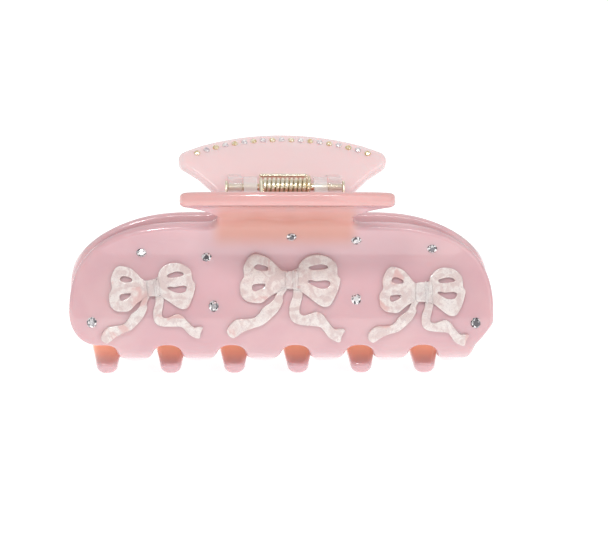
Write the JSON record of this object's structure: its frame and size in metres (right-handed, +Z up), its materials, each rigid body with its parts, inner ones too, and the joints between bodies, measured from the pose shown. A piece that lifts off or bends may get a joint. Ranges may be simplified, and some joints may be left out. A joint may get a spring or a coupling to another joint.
{
  "type": "claw hair clip",
  "caption": "Claw hair clip: two bent sheet jaws with interlocking teeth on a sprung hinge, with bow inlays, set stones and crystal rows along the handles.",
  "frame": {"origin": "middle of the hinge pin's axis", "axes": "+X along the hinge pin, -Y towards the front jaw with the bows, +Z up towards the handles, tooth tips down"},
  "size_m": [0.095, 0.0408, 0.0494],
  "materials": {
    "pink_acetate": "gloss",
    "pearl_acetate": "gloss",
    "clear_acrylic": "gloss",
    "gold_metal": "polished",
    "clear_crystal": "gloss",
    "gold_crystal": "gloss"
  },
  "bodies": {
    "root": {"hinge_pin": "gold_metal", "rear_clear_crystals": "clear_crystal", "rear_gold_crystals": "gold_crystal", "rear_hinge_lug_left": "clear_acrylic", "rear_hinge_lug_right": "clear_acrylic", "rear_jaw": "pink_acetate", "torsion_spring": "gold_metal"},
    "front": {"bow_centre": "pearl_acetate", "bow_left": "pearl_acetate", "bow_right": "pearl_acetate", "front_hinge_lug_left": "clear_acrylic", "front_hinge_lug_right": "clear_acrylic", "front_jaw": "pink_acetate", "rhinestone_1": "clear_crystal", "rhinestone_2": "clear_crystal", "rhinestone_3": "clear_crystal", "rhinestone_4": "clear_crystal", "rhinestone_5": "clear_crystal", "rhinestone_6": "clear_crystal", "rhinestone_7": "clear_crystal", "rhinestone_8": "clear_crystal", "rhinestone_9": "clear_crystal"}
  },
  "joints": [
    {"name": "jaw_hinge", "type": "hinge", "parent": "root", "child": "front", "pos_m": [0, 0, 0], "axis": [-1, 0, 0], "range_deg": [0, 55], "stiffness_Nm_per_rad": 0.06, "springref_deg": -34.38, "deforming": ["torsion_spring"]}
  ]
}
